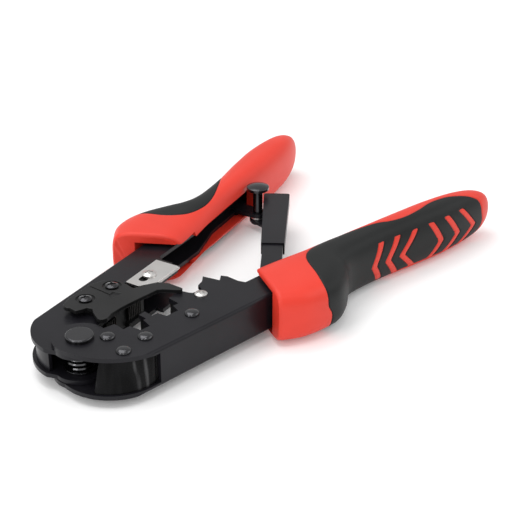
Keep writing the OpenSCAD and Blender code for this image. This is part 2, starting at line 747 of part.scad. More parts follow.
module pawl() color(black_c) on_link() difference() {
  slab(bar_z0 + 0.3, bar_z1 - 0.3) {
    translate(pawl_at) circle(r = pawl_eye_r);
    polygon([
      pawl_at + [0, -pawl_eye_r],
      pawl_at + [0, 1.1],
      pawl_at + [-6.5, 0.2],
      pawl_at + [-7.4, -1.9]
    ]);
  }
  rod(pawl_at, pawl_pin_r + running_fit, 0, 20);
}

// Leaf spring that presses the pawl onto the teeth
module pawl_spring() color(bright_c) on_link()
  box([pawl_at[0] - 7.2, pawl_at[0] - 2.4], [bar_w / 2 - 0.25, bar_w / 2 + bar_gap], [bar_z0 + 1, bar_z1 - 1]);

fixed_frame();
head_block();
die_block();
frame_rivets();
anvil_plate();
anvil_screw();
pivot_pin();
pivot_bush();
pivot_washer();
return_spring();
anchor_pin();
near_grip_shell();
near_grip_overmould();
near_grip_chevrons();
moving_frame();
nose_wall();
punch_guard();
punch_block();
guard_screws();
crimp_blades_8p();
crimp_blades_6p();
strain_bar_8p();
strain_bar_6p();
blade_spacer();
cutter_blade();
blade_screw();
blade_nut();
far_grip_shell();
far_grip_overmould();
far_grip_chevrons();
link_pin();
link_collar();
link_clip();
link_sleeve();
pawl_pin();
pawl_spring();
pawl();
link_bar();
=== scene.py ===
"""Ratchet crimping tool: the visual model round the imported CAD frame.

Shapes are in millimetres until they reach Blender; the camera, the lights and the floor are in metres.
"""
import json
import math

import bmesh
import bpy
import numpy as np
from mathutils import Matrix, Vector


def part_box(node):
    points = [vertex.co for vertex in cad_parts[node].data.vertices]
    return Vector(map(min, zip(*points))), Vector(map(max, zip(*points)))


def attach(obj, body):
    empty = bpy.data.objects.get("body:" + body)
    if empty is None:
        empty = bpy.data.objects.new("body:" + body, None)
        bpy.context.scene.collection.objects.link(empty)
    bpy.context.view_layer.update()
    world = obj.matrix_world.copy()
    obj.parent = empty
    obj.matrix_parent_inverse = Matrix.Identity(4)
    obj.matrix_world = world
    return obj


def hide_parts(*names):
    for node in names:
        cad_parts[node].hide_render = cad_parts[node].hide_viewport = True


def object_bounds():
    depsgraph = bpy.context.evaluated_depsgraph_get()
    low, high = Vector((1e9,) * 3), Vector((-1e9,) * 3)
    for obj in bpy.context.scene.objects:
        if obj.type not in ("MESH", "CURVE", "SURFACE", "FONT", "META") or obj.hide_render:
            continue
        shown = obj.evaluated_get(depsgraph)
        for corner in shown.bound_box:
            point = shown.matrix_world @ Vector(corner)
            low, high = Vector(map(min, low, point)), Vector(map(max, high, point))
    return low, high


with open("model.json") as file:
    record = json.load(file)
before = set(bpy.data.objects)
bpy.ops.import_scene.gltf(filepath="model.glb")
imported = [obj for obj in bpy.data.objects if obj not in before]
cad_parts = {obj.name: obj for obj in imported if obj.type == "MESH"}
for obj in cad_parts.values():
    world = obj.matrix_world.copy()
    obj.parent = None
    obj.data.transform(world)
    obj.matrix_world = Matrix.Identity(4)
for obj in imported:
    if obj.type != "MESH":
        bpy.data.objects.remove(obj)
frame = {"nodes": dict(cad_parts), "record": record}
CAD_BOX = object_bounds()
MM = 0.001
SCENE = bpy.context.scene
COLLECTION = bpy.context.collection
BODY = {node: body for body, nodes in frame["record"]["behaviour"]["bodies"].items() for node in nodes}
SLOT = {part["node"]: part["material_slot"] for part in frame["record"]["subparts"]}
TOP_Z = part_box("fixed_frame")[1].z / MM
BOTTOM_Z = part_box("fixed_frame")[0].z / MM
MID_Z = (TOP_Z + BOTTOM_Z) / 2
OPEN_ANGLE = 14.5


# ---------------------------------------------------------------- materials

def new_material(name):
    material = bpy.data.materials.new(name)
    material.use_nodes = True
    tree = material.node_tree
    return material, tree, tree.nodes["Principled BSDF"]


def object_coords(tree, scale):
    coords = tree.nodes.new("ShaderNodeTexCoord")
    mapping = tree.nodes.new("ShaderNodeMapping")
    mapping.inputs["Scale"].default_value = scale
    tree.links.new(coords.outputs["Object"], mapping.inputs["Vector"])
    return mapping.outputs["Vector"]


def noise(tree, scale, detail, stretch=(1, 1, 1), roughness=0.55):
    node = tree.nodes.new("ShaderNodeTexNoise")
    node.inputs["Scale"].default_value = scale
    node.inputs["Detail"].default_value = detail
    node.inputs["Roughness"].default_value = roughness
    tree.links.new(object_coords(tree, stretch), node.inputs["Vector"])
    return node.outputs["Fac"]


def ramp(tree, value, stops):
    """Colours at (place, colour) stops along a value."""
    node = tree.nodes.new("ShaderNodeValToRGB")
    elements = node.color_ramp.elements
    while len(elements) < len(stops):
        elements.new(0.5)
    for element, (place, colour) in zip(elements, stops):
        element.position = place
        element.color = (*colour, 1)
    tree.links.new(value, node.inputs["Fac"])
    return node.outputs["Color"]


def span(tree, value, low, high):
    """Spreads a value from 0 to 1 over the range from low to high."""
    node = tree.nodes.new("ShaderNodeMapRange")
    node.inputs["To Min"].default_value = low
    node.inputs["To Max"].default_value = high
    tree.links.new(value, node.inputs["Value"])
    return node.outputs["Result"]


def bump(tree, shader, height, strength, distance):
    node = tree.nodes.new("ShaderNodeBump")
    node.inputs["Strength"].default_value = strength
    node.inputs["Distance"].default_value = distance
    tree.links.new(height, node.inputs["Height"])
    tree.links.new(node.outputs["Normal"], shader.inputs["Normal"])


def metal_material(name, dark, light, metallic, rough, grain, specular=0.5, stretch=(1, 1, 1), coat=0.0):
    """Metal with a cloudy tone and a fine grain, and a thin glossy oxide over it if coat is above 0."""
    material, tree, shader = new_material(name)
    clouds = noise(tree, scale=55, detail=5)
    fine = noise(tree, scale=grain, detail=6, stretch=stretch, roughness=0.7)
    base = ramp(tree, clouds, [(0.3, dark), (0.72, light)])
    tree.links.new(base, shader.inputs["Base Color"])
    shader.inputs["Metallic"].default_value = metallic
    shader.inputs["Specular IOR Level"].default_value = specular
    shader.inputs["Coat Weight"].default_value = coat
    shader.inputs["Coat Roughness"].default_value = 0.12
    tree.links.new(span(tree, fine, rough - 0.07, rough + 0.09), shader.inputs["Roughness"])
    bump(tree, shader, fine, strength=0.15, distance=0.00004)
    return material


def highlight_streak_material(name):
    """Black block whose base colour carries painted highlights as upright bright bands round its curved
    face; the same bands also give a slight bump.
    """
    material, tree, shader = new_material(name)
    highlight_streaks = noise(tree, scale=230, detail=2, stretch=(1, 1, 0.004), roughness=0.4)
    fine = noise(tree, scale=1500, detail=4)
    # Painted highlight: the bright stop at 0.68 puts upright highlight bands into the base colour; the other
    # stops are the block's near-black tone.
    base = ramp(tree, highlight_streaks, [
        (0.42, (0.004, 0.004, 0.0042)), (0.6, (0.009, 0.009, 0.0095)),
        (0.68, (0.07, 0.07, 0.072)), (0.74, (0.01, 0.01, 0.011)),
    ])
    tree.links.new(base, shader.inputs["Base Color"])
    shader.inputs["Metallic"].default_value = 0.2
    shader.inputs["Specular IOR Level"].default_value = 0.07
    tree.links.new(span(tree, fine, 0.2, 0.34), shader.inputs["Roughness"])
    bump(tree, shader, highlight_streaks, strength=0.12, distance=0.00008)
    return material


def plastic_material(name, dark, light, rough, grain, depth, specular):
    """Moulded plastic or rubber with a fine grain."""
    material, tree, shader = new_material(name)
    clouds = noise(tree, scale=40, detail=3)
    base = ramp(tree, clouds, [(0.25, dark), (0.75, light)])
    tree.links.new(base, shader.inputs["Base Color"])
    fine = noise(tree, scale=grain, detail=3)
    tree.links.new(span(tree, fine, rough - 0.05, rough + 0.07), shader.inputs["Roughness"])
    shader.inputs["Specular IOR Level"].default_value = specular
    bump(tree, shader, fine, strength=0.3, distance=depth)
    return material


MATERIALS = {
    "frame_steel": metal_material(
        "blackened_steel", (0.0075, 0.0071, 0.0093), (0.0115, 0.0110, 0.0142),
        metallic=0.1, rough=0.34, grain=2600, specular=0.2, coat=0.06,
    ),
    "black_block": metal_material(
        "black_casting", (0.005, 0.005, 0.0053), (0.011, 0.011, 0.0115),
        metallic=0.1, rough=0.36, grain=1700, specular=0.3,
    ),
    "dark_steel": metal_material(
        "dark_polished_steel", (0.03, 0.03, 0.033), (0.055, 0.055, 0.06),
        metallic=0.9, rough=0.2, grain=3200,
    ),
    "bright_steel": metal_material(
        "ground_steel", (0.60, 0.585, 0.57), (0.74, 0.725, 0.71),
        metallic=1.0, rough=0.34, grain=900, stretch=(1, 9, 1),
    ),
    "red_plastic": plastic_material(
        "red_shell", (0.68, 0.036, 0.019), (0.76, 0.045, 0.025),
        rough=0.42, grain=2400, depth=0.00003, specular=0.35,
    ),
    "soft_grip": plastic_material(
        "soft_overmould", (0.0075, 0.0083, 0.0083), (0.012, 0.013, 0.013),
        rough=0.5, grain=3600, depth=0.00007, specular=0.24,
    ),
}
SPRING_WIRE = metal_material(
    "spring_wire", (0.10, 0.10, 0.105), (0.17, 0.17, 0.175), metallic=1.0, rough=0.22, grain=2000,
)
# The head block's bright upright bands are painted highlights.
HEAD_BLOCK = highlight_streak_material("black_block_painted_highlights")
POLISHED_HEADS = metal_material(
    "polished_black_heads", (0.03, 0.03, 0.033), (0.055, 0.055, 0.06),
    metallic=0.95, rough=0.2, grain=2400, coat=0.5,
)
# Painted shade: the crimp blades and the strain bars are bright ground steel. They are drawn in these
# darkened copies because they lie in shade under the guard.
SHADE_DARKENED_BLADES = metal_material(
    "blades_darkened_as_painted_shade", (0.022, 0.021, 0.02), (0.045, 0.043, 0.041), metallic=0.9, rough=0.35, grain=2400,
)
SHADED_STEEL = metal_material(
    "shaded_steel", (0.012, 0.012, 0.0125), (0.022, 0.022, 0.023),
    metallic=0.4, rough=0.45, grain=2400, specular=0.2,
)


# ---------------------------------------------------------------- pieces from CAD nodes

# Faces that meet at less than FLAT_DEGREES join, and edges above SHARP_DEGREES are sharp and bevelled
FLAT_DEGREES, SHARP_DEGREES = 0.6, 32
# CAD vertices closer than this, in metres, become one
CAD_WELD = 2e-6
BEVEL_SEGMENTS = 3
USUAL_BEVEL = 0.15
BEVELS = {
    "fixed_frame": 0.3, "moving_frame": 0.3, "link_sleeve": 0.25, "link_bar": 0.25, "punch_guard": 0.35,
    "pivot_pin": 0, "return_spring": 0, "guard_screws": 0.12, "blade_screw": 0.12, "anvil_screw": 0.1,
    "cutter_blade": 0.1, "crimp_blades_8p": 0.05, "crimp_blades_6p": 0.05,
}
OWN_MATERIALS = {
    "head_block": HEAD_BLOCK,
    "return_spring": SPRING_WIRE,
    "pivot_pin": POLISHED_HEADS,
    "link_pin": POLISHED_HEADS,
    "guard_screws": POLISHED_HEADS,
    # Painted shade: darkened steel for the blades and bars that lie in shade under the guard
    "crimp_blades_8p": SHADE_DARKENED_BLADES,
    "crimp_blades_6p": SHADE_DARKENED_BLADES,
    "strain_bar_8p": SHADED_STEEL,
    "strain_bar_6p": SHADED_STEEL,
}


def add_object(name, mesh, node, material=None):
    """Shows a mesh as a piece that stands for a CAD node, on that node's body and in its slot."""
    piece = bpy.data.objects.new(name, mesh)
    COLLECTION.objects.link(piece)
    mesh.materials.clear()
    mesh.materials.append(material or MATERIALS[SLOT[node]])
    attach(piece, BODY[node])
    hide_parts(node)
    return piece


def smooth_by_angle(mesh, degrees):
    for polygon in mesh.polygons:
        polygon.use_smooth = True
    mesh.set_sharp_from_angle(angle=math.radians(degrees))


def refine(node, bevel, material):
    """Rebuilds a CAD node with clean faces and softened edges, and shows it in the node's place."""
    bm = bmesh.new()
    bm.from_mesh(frame["nodes"][node].data)
    bmesh.ops.remove_doubles(bm, verts=bm.verts, dist=CAD_WELD)
    bmesh.ops.dissolve_limit(bm, angle_limit=math.radians(FLAT_DEGREES), verts=bm.verts, edges=bm.edges)
    mesh = bpy.data.meshes.new(node + "_fine")
    bm.to_mesh(mesh)
    bm.free()
    smooth_by_angle(mesh, SHARP_DEGREES)
    piece = add_object(node + "_fine", mesh, node, material)
    if bevel:
        soften = piece.modifiers.new("soft_edges", "BEVEL")
        soften.width = bevel * MM
        soften.segments = BEVEL_SEGMENTS
        soften.limit_method = "ANGLE"
        soften.angle_limit = math.radians(SHARP_DEGREES)
        soften.use_clamp_overlap = True
    weigh = piece.modifiers.new("even_shading", "WEIGHTED_NORMAL")
    weigh.keep_sharp = True


# ---------------------------------------------------------------- grips

# Both grips are drawn beside the X axis. The near one is then mirrored, and the far one turned open.
# Stations along a grip: x, inner y, outer y, half height, and the power of its superellipse section
NEAR_KEYS = [
    (54, 7.4, 26, 9.6, 3.8), (60, 7.5, 30.5, 10.0, 3.8), (66, 7.6, 34.5, 10.3, 3.8),
    (72, 7.7, 37.6, 10.4, 3.8), (80, 7.9, 39, 10.5, 3.6), (87.5, 8.6, 38.9, 10.7, 3.4),
    (94.5, 9.6, 35.6, 10.9, 3.1), (99.5, 10.2, 31.4, 10.9, 2.9), (105, 10.8, 28.5, 10.9, 2.8),
    (113, 11.6, 27.6, 10.8, 2.8), (127, 12.8, 28, 10.9, 2.8), (142, 13.9, 29.8, 11.1, 2.8),
    (158, 15.2, 31.3, 11.1, 2.8), (172, 17.1, 31.5, 10.6, 2.6), (182, 19.4, 31, 9.1, 2.4),
    (188, 22, 29.2, 6.3, 2.2), (190.3, 24.4, 26.6, 2.2, 2),
]
FAR_KEYS = [
    (54, 7.4, 26.6, 9.6, 3.8), (60, 7.5, 31.2, 10.0, 3.8), (66, 7.6, 35.2, 10.3, 3.8),
    (72, 7.7, 38.4, 10.4, 3.6), (80, 7.9, 39.5, 10.4, 3.1), (87.5, 8.6, 38.0, 10.5, 2.6),
    (94.5, 9.6, 33.8, 10.7, 2.3), (99.5, 10.2, 29.9, 10.8, 2.2), (105, 10.8, 27.3, 10.8, 2.2),
    (113, 11.6, 26.5, 10.8, 2.2), (127, 12.8, 27.3, 10.9, 2.4), (142, 13.9, 29.5, 11.1, 2.6),
    (158, 15.2, 31.3, 11.1, 2.7), (172, 17.1, 31.2, 10.6, 2.6), (181, 19.4, 30.6, 9.1, 2.4),
    (186.8, 22, 28.8, 6.3, 2.2), (189, 24.2, 26.4, 2.2, 2),
]
# Outlines of the soft patch from above. The near grip has the wide one on top, and the far grip below
PATCH_WIDE = [
    (80, 45), (81.2, 36), (85, 27.7), (87.3, 22.7), (90, 18.7), (93.5, 15.9), (98.5, 14), (107, 13.8),
    (118, 15.6), (128.7, 18.5), (134.5, 21.5), (141.5, 23.1), (149.5, 23), (158, 22), (166, 23),
    (172, 25.8), (177, 28.4), (182, 32), (186, 45),
]
PATCH_NARROW = [
    (82, 45), (83, 35), (83.6, 29.5), (84.5, 25), (86.8, 20.8), (90.6, 17.6), (96, 15.9), (103, 15.4),
    (110.6, 17), (120.3, 21), (128.5, 25), (137, 27.3), (150, 28.9), (165, 29.7), (178, 29.4),
    (183, 32), (186, 45),
]
PATCH_STEPS = 6
# Height over which the upper outline of the patch turns into the lower one
PATCH_BLEND = 5
# Chevrons: x of the point, and how far along x the arms run
CHEVRONS = [(117.4, 4.5), (125, 5.6), (132.4, 7.4), (153.8, -5.6), (163.8, -6.6), (174.2, -8)]
CHEVRON_RISE, CHEVRON_DROP, CHEVRON_BAND = 9, 7.4, 3.0
CHEVRON_Z = MID_Z - 1
NO_CHEVRON = -9.0
GRIP_MID = MID_Z + 0.6
SKIN_STEPS, SKIN_SIDES = 12, 112
# The fine skin lies this far inside the CAD grip
SKIN_INSET = 0.05
# The front face lies along x = FRONT_X - FRONT_SLOPE * y, and its edge rolls in over LIP
FRONT_X, FRONT_SLOPE = 77, 0.45
LIP = 1.5
LIP_LEVELS = (0.0, 0.12, 0.35, 0.7, 1.1, LIP)
# The skin moves only this share as far along the grip as across it
ALONG_SHARE = 0.3
GROOVE_DEPTH, GROOVE_WIDTH = 0.3, 0.38
GROOVE_LEVELS = (-GROOVE_WIDTH, 0.0, GROOVE_WIDTH)
# The frame's channel fills the slot up to SLOT_END, and its tang goes on to TANG_END
CHANNEL_START, CHANNEL_INNER = 45, -5
NEAR_WEB, FAR_WEB = 24.3, 23.2
SLOT_END, TANG_END, TANG_EDGE = 138, 172, 18.5
MOUTH_DEPTH, MOUTH_GAP = 8, 1.5
PIN_HOLE_R = 5.4
# Cutters reach into each other by CUT_OVERLAP, and CUT_STEP keeps their flat faces apart
CUT_OVERLAP, CUT_STEP = 1, 0.01
CUT_LOW_Y, CUT_HIGH_Y = -20, 60
CUT_LOW_Z, CUT_HIGH_Z = -20, 40
CIRCLE_SIDES = 48
# Columns of the skin's fields, followed by the three columns of its outward direction
PATCH, CHEVRON, FRONT, OUTWARD = 0, 1, 2, 3
# Labels of the skin's faces. A wall left by a cut has label 0, so it goes with the shell
GRIP_LABELS = {"shell": 0, "overmould": 1, "chevrons": 2}
# Open edges of a grip's pieces turn inwards by SKIRT, to close the gaps in the grooves
SKIRT = 0.7
# Skin vertices closer than this, in metres, become one
SKIN_WELD = 3e-6
SKIN_SHARP_DEGREES = 38
# A level line misses every vertex by LEVEL_MISS, and keeps off the ends of an edge by this share of it
LEVEL_MISS, END_SHARE = 1e-6, 0.03
TINY = 1e-9


def smooth_line(keys, steps):
    """Catmull-Rom curve through the stations."""
    k = np.asarray(keys, float)
    t = np.linspace(0, len(k) - 1, (len(k) - 1) * steps + 1)
    i = np.minimum(t.astype(int), len(k) - 2)
    f = (t - i)[:, None]
    p0, p1, p2, p3 = k[np.maximum(i - 1, 0)], k[i], k[i + 1], k[np.minimum(i + 2, len(k) - 1)]
    bend = 2 * p0 - 5 * p1 + 4 * p2 - p3
    twist = 3 * p1 - p0 - 3 * p2 + p3
    return 0.5 * (2 * p1 + (p2 - p0) * f + bend * f ** 2 + twist * f ** 3)


def polygon_distance(points, polygon):
    """Signed distance from each 2-D point to a polygon, positive inside."""
    best = np.full(len(points), np.inf)
    inside = np.zeros(len(points), bool)
    for a, b in zip(polygon, np.roll(polygon, -1, axis=0)):
        edge = b - a
        rel = points - a
        t = np.clip(rel @ edge / max(edge @ edge, TINY), 0, 1)
        best = np.minimum(best, np.linalg.norm(rel - t[:, None] * edge, axis=1))
        crosses = (a[1] > points[:, 1]) != (b[1] > points[:, 1])
        with np.errstate(divide="ignore", invalid="ignore"):
            at = a[0] + (points[:, 1] - a[1]) * edge[0] / edge[1]
        inside ^= crosses & (points[:, 0] < at)
    return np.where(inside, best, -best)


def patch_field(v, upper, lower):
    """Distance inside the soft patch, whose outline turns from lower to upper with height."""
    top = polygon_distance(v[:, :2], smooth_line(upper, PATCH_STEPS))
    bottom = polygon_distance(v[:, :2], smooth_line(lower, PATCH_STEPS))
    share = np.clip((v[:, 2] - GRIP_MID) / PATCH_BLEND + 0.5, 0, 1)
    share = share * share * (3 - 2 * share)
    return top * share + bottom * (1 - share)


def chevron_field(v, middle):
    """Distance inside the nearest chevron, on the outer half of a grip."""
    flat = np.stack([v[:, 0], v[:, 2] - CHEVRON_Z], axis=1)
    field = np.full(len(v), NO_CHEVRON)
    for x, run in CHEVRONS:
        shape = np.array([
            (x, 0), (x + run, CHEVRON_RISE), (x + run + CHEVRON_BAND, CHEVRON_RISE),
            (x + CHEVRON_BAND, 0), (x + run + CHEVRON_BAND, -CHEVRON_DROP), (x + run, -CHEVRON_DROP),
        ], float)
        field = np.maximum(field, polygon_distance(flat, shape))
    return np.where(v[:, 1] > middle, field, NO_CHEVRON)


def split_at(v, tris, fields, index, level):
    """Cuts the triangles along one level line of a field, so that edges follow it."""
    s = fields[:, index] - level
    s = np.where(np.abs(s) < LEVEL_MISS, LEVEL_MISS, s)
    high = s > 0
    count = high[tris].sum(axis=1)
    cut_here = (count == 1) | (count == 2)
    keep, work = tris[~cut_here], tris[cut_here]
    if not len(work):
        return v, tris, fields
    lone = np.where(count[cut_here][:, None] == 1, high[work], ~high[work]).argmax(axis=1)
    rows = np.arange(len(work))
    a, b, c = (work[rows, (lone + k) % 3] for k in range(3))
    edges = np.sort(np.concatenate([np.stack([a, b], 1), np.stack([a, c], 1)]), axis=1)
    unique, inverse = np.unique(edges, axis=0, return_inverse=True)
    inverse = inverse.reshape(-1)
    s0, s1 = s[unique[:, 0]], s[unique[:, 1]]
    t = np.clip(s0 / (s0 - s1), END_SHARE, 1 - END_SHARE)[:, None]
    new_v = v[unique[:, 0]] * (1 - t) + v[unique[:, 1]] * t
    new_fields = fields[unique[:, 0]] * (1 - t) + fields[unique[:, 1]] * t
    new_fields[:, index] = level
    p = len(v) + inverse[:len(work)]
    q = len(v) + inverse[len(work):]
    made = np.concatenate([np.stack([a, p, q], 1), np.stack([p, b, c], 1), np.stack([p, c, q], 1)])
    return np.concatenate([v, new_v]), np.concatenate([keep, made]), np.concatenate([fields, new_fields])


def unit_rows(vectors):
    return vectors / np.maximum(np.linalg.norm(vectors, axis=1, keepdims=True), TINY)


def grip_grid(line, middle):
    """Rings of a grip's skin as a grid of points, with the outward direction at each."""
    angle = 2 * np.pi * (np.arange(SKIN_SIDES) + 0.5) / SKIN_SIDES
    power = 2 / line[:, 4:5]
    cos, sin = np.cos(angle)[None, :], np.sin(angle)[None, :]
    x = np.repeat(line[:, 0:1], SKIN_SIDES, axis=1)
    y = middle + ((line[:, 2:3] - line[:, 1:2]) / 2 - SKIN_INSET) * np.sign(cos) * np.abs(cos) ** power
    z = GRIP_MID + (line[:, 3:4] - SKIN_INSET) * np.sign(sin) * np.abs(sin) ** power
    grid = np.stack([x, y, z], axis=2)
    along = np.gradient(grid, axis=0)
    around = np.roll(grid, -1, axis=1) - np.roll(grid, 1, axis=1)
    normal = unit_rows(np.cross(around, along).reshape(-1, 3))
    v = grid.reshape(-1, 3)
    centres = np.repeat(middle, SKIN_SIDES, axis=1).reshape(-1)
    outward = v - np.stack([v[:, 0], centres, np.full(len(v), GRIP_MID)], axis=1)
    return v, normal * np.sign((normal * outward).sum(axis=1, keepdims=True))


def grip_triangles(rings):
    """Triangles between the rings, and the two fans that close the ends."""
    sides = SKIN_SIDES
    j, i = np.meshgrid(np.arange(rings - 1), np.arange(sides), indexing="ij")
    q0, q1 = j * sides + i, (j + 1) * sides + i
    q2, q3 = (j + 1) * sides + (i + 1) % sides, j * sides + (i + 1) % sides
    ring = np.arange(sides)
    first, last = rings * sides, rings * sides + 1
    end = (rings - 1) * sides
    return np.concatenate([
        np.stack([q0, q2, q1], 2).reshape(-1, 3),
        np.stack([q0, q3, q2], 2).reshape(-1, 3),
        np.stack([np.full(sides, first), (ring + 1) % sides, ring], 1),
        np.stack([np.full(sides, last), end + ring, end + (ring + 1) % sides], 1),
    ])


def grip_surface(keys, upper, lower):
    """Fine closed skin of a grip, with its grooves, its rolled front edge and a label for each face."""
    line = smooth_line(keys, SKIN_STEPS)
    middle = (line[:, 1:2] + line[:, 2:3]) / 2
    v, normal = grip_grid(line, middle)
    tris = grip_triangles(len(line))
    ends = np.array([[line[0, 0], middle[0, 0], GRIP_MID], [line[-1, 0], middle[-1, 0], GRIP_MID]])
    v = np.concatenate([v, ends])
    normal = np.concatenate([normal, [[-1, 0, 0], [1, 0, 0]]])
    middles = np.interp(v[:, 0], line[:, 0], middle[:, 0])
    behind = (v[:, 0] + FRONT_SLOPE * v[:, 1] - FRONT_X) / math.hypot(1, FRONT_SLOPE)
    fields = np.column_stack([patch_field(v, upper, lower), chevron_field(v, middles), behind, normal])
    for index, levels in ((FRONT, LIP_LEVELS), (PATCH, GROOVE_LEVELS), (CHEVRON, GROOVE_LEVELS)):
        for level in levels:
            v, tris, fields = split_at(v, tris, fields, index, level)
    patch, chevron, behind = fields[:, PATCH], fields[:, CHEVRON], fields[:, FRONT]
    patch_groove = np.clip(1 - np.abs(patch) / GROOVE_WIDTH, 0, 1)
    chevron_groove = np.clip(1 - np.abs(chevron) / GROOVE_WIDTH, 0, 1) * (patch > 0)
    groove = np.maximum(patch_groove, chevron_groove) * GROOVE_DEPTH
    rolled = np.clip(LIP - behind, 0, LIP)
    lip = LIP - np.sqrt(np.maximum(LIP ** 2 - rolled ** 2, 0))
    inwards = unit_rows(fields[:, OUTWARD:])
    inwards[:, 0] *= ALONG_SHARE
    v = v - inwards * (groove + lip)[:, None]
    on_patch = patch[tris].mean(axis=1) > 0
    on_chevron = chevron[tris].mean(axis=1) > 0
    soft_label = np.where(on_chevron, GRIP_LABELS["chevrons"], GRIP_LABELS["overmould"])
    return v, tris, np.where(on_patch, soft_label, GRIP_LABELS["shell"])


def mesh_object(name, v, faces, labels=None):
    mesh = bpy.data.meshes.new(name)
    mesh.from_pydata([tuple(p) for p in np.asarray(v) * MM], [], [tuple(int(n) for n in f) for f in faces])
    if labels is not None:
        for _ in GRIP_LABELS:
            mesh.materials.append(None)
        mesh.polygons.foreach_set("material_index", np.asarray(labels, dtype=np.int32))
    mesh.update()
    piece = bpy.data.objects.new(name, mesh)
    COLLECTION.objects.link(piece)
    return piece


def prism(outline, z0, z1):
    """Closed prism over a 2-D outline, as vertices and faces."""
    n = len(outline)
    v = [(x, y, z) for z in (z0, z1) for x, y in outline]
    walls = [(i, (i + 1) % n, n + (i + 1) % n, n + i) for i in range(n)]
    return v, [tuple(range(n))[::-1], tuple(range(n, 2 * n))] + walls


def rectangle(x0, x1, y0, y1):
    return [(x0, y0), (x1, y0), (x1, y1), (x0, y1)]


def circle(centre, radius):
    turns = [2 * math.pi * i / CIRCLE_SIDES for i in range(CIRCLE_SIDES)]
    return [(centre[0] + radius * math.cos(a), centre[1] + radius * math.sin(a)) for a in turns]


def before_front():
    """Everything in front of a grip's slanted front face."""
    low_x, high_x = FRONT_X - FRONT_SLOPE * CUT_LOW_Y, FRONT_X - FRONT_SLOPE * CUT_HIGH_Y
    return [(low_x, CUT_LOW_Y), (high_x, CUT_HIGH_Y), (0, CUT_HIGH_Y), (0, CUT_LOW_Y)]


def cut(target, cutters):
    """Takes the cutters out of the target for good."""
    for cutter in cutters:
        modifier = target.modifiers.new("cut", "BOOLEAN")
        modifier.operation = "DIFFERENCE"
        modifier.solver = "EXACT"
        modifier.object = cutter
    graph = bpy.context.evaluated_depsgraph_get()
    mesh = bpy.data.meshes.new_from_object(target.evaluated_get(graph))
    target.modifiers.clear()
    target.data = mesh
    for cutter in cutters:
        bpy.data.objects.remove(cutter, do_unlink=True)


def take_faces(source, name, label, place):
    """New mesh from the faces with one label, moved by place, with its open edges turned inwards."""
    bm = bmesh.new()
    bm.from_mesh(source)
    bmesh.ops.delete(bm, geom=[f for f in bm.faces if f.material_index != label], context="FACES")
    bmesh.ops.remove_doubles(bm, verts=bm.verts, dist=SKIN_WELD)
    bm.normal_update()
    rim = [e for e in bm.edges if e.is_boundary]
    if rim:
        made = bmesh.ops.extrude_edge_only(bm, edges=rim)["geom"]
        moved = {v for v in made if isinstance(v, bmesh.types.BMVert)}
        for vert in moved:
            roots = [e.other_vert(vert) for e in vert.link_edges if e.other_vert(vert) not in moved]
            if roots:
                vert.co = roots[0].co - roots[0].normal * SKIRT * MM
    for face in bm.faces:
        face.material_index = 0
    bmesh.ops.transform(bm, matrix=place, verts=bm.verts)
    if place.determinant() < 0:
        bmesh.ops.reverse_faces(bm, faces=bm.faces)
    mesh = bpy.data.meshes.new(name)
    bm.to_mesh(mesh)
    bm.free()
    smooth_by_angle(mesh, SKIN_SHARP_DEGREES)
    return mesh


def make_grip(side, keys, upper, lower, channel, place, pin=None):
    """One grip: its skin with the channel, the mouth and any pin hole cut out, shared between its pieces."""
    web, z0, z1 = channel
    skin = mesh_object(side + "_grip_skin", *grip_surface(keys, upper, lower))
    mouth = rectangle(
        CHANNEL_START - CUT_OVERLAP, FRONT_X + MOUTH_DEPTH,
        CHANNEL_INNER - CUT_OVERLAP / 2, web + MOUTH_GAP,
    )
    tang = rectangle(SLOT_END - CUT_OVERLAP, TANG_END, TANG_EDGE, web)
    shapes = [
        (before_front(), CUT_LOW_Z, CUT_HIGH_Z),
        (rectangle(CHANNEL_START, SLOT_END, CHANNEL_INNER, web), z0, z1),
        (tang, z0 + CUT_STEP, z1 - CUT_STEP),
        (mouth, z0 - MOUTH_GAP, z1 + MOUTH_GAP),
    ]
    if pin:
        shapes.append((circle(pin, PIN_HOLE_R), CUT_LOW_Z, CUT_HIGH_Z))
    cutters = []
    for number, (outline, low, high) in enumerate(shapes):
        cutters.append(mesh_object("%s_cutter_%d" % (side, number), *prism(outline, low, high)))
    cut(skin, cutters)
    for part, label in GRIP_LABELS.items():
        node = "%s_grip_%s" % (side, part)
        add_object(node + "_fine", take_faces(skin.data, node + "_fine", label, place), node)
    bpy.data.objects.remove(skin, do_unlink=True)


def turned(point, degrees):
    a = math.radians(degrees)
    return point[0] * math.cos(a) - point[1] * math.sin(a), point[0] * math.sin(a) + point[1] * math.cos(a)


def make_grips():
    pin_low, pin_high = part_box("link_pin")
    pin = turned(((pin_low.x + pin_high.x) / 2 / MM, (pin_low.y + pin_high.y) / 2 / MM), -OPEN_ANGLE)
    moving_low, moving_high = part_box("moving_frame")
    near_channel = (NEAR_WEB, BOTTOM_Z, TOP_Z)
    far_channel = (FAR_WEB, moving_low.z / MM, moving_high.z / MM)
    near_place = Matrix.Scale(-1, 4, (0, 1, 0))
    far_place = Matrix.Rotation(math.radians(OPEN_ANGLE), 4, "Z")
    make_grip("near", NEAR_KEYS, PATCH_WIDE, PATCH_NARROW, near_channel, near_place)
    make_grip("far", FAR_KEYS, PATCH_NARROW, PATCH_WIDE, far_channel, far_place, pin)


# ---------------------------------------------------------------- rivets

RIVETS = [(6.9, -6.2), (5, -16.9), (15.9, -15), (37.2, -14.7)]
RIVET_R, RIVET_HEAD_R, RIVET_HEAD_H = 1.6, 2.65, 1.2
RIVET_SIDES = 48
RIVET_SHARP_DEGREES = 50
# Degrees between the points of the dome, and the power that gives it full shoulders
DOME_STEP, DOME_POWER = 9, 0.8
# The head stands this far off the plate, and no ring is smaller than POLE_R
HEAD_GAP, POLE_R = 0.02, 0.01


